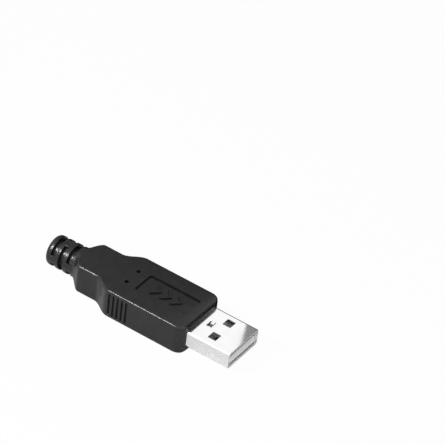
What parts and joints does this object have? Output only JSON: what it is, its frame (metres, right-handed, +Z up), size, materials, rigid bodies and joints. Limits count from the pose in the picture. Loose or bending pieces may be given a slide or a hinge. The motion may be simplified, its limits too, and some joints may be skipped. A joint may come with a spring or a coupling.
{
  "type": "usb-a plug",
  "caption": "Moulded USB-A cable plug: folded metal shell with a contact tongue, rear screen halves, inner mould, side grip grooves and a slotted strain relief with an open cable bore.",
  "frame": {"origin": "under the middle of the plug's overall length and width, on the plane that its flat bottom rests on", "axes": "+X along the plug towards the tip of the metal shell, +Y to its left, +Z up through the side with the recessed panel"},
  "size_m": [0.0548, 0.0158, 0.008],
  "materials": {
    "overmould": "fine matt grain",
    "inner_mould": "plain moulded",
    "shell": "nickel plated, satin",
    "insulator": "smooth moulded",
    "contacts": "gold plated",
    "rear_screen": "tin plated"
  },
  "bodies": {
    "root": {"overmould": "overmould", "inner_mould": "inner_mould", "shell": "shell", "insulator": "insulator", "contact_supply": "contacts", "contact_data_minus": "contacts", "contact_data_plus": "contacts", "contact_ground": "contacts", "rear_screen_upper": "rear_screen", "rear_screen_lower": "rear_screen"}
  },
  "joints": []
}
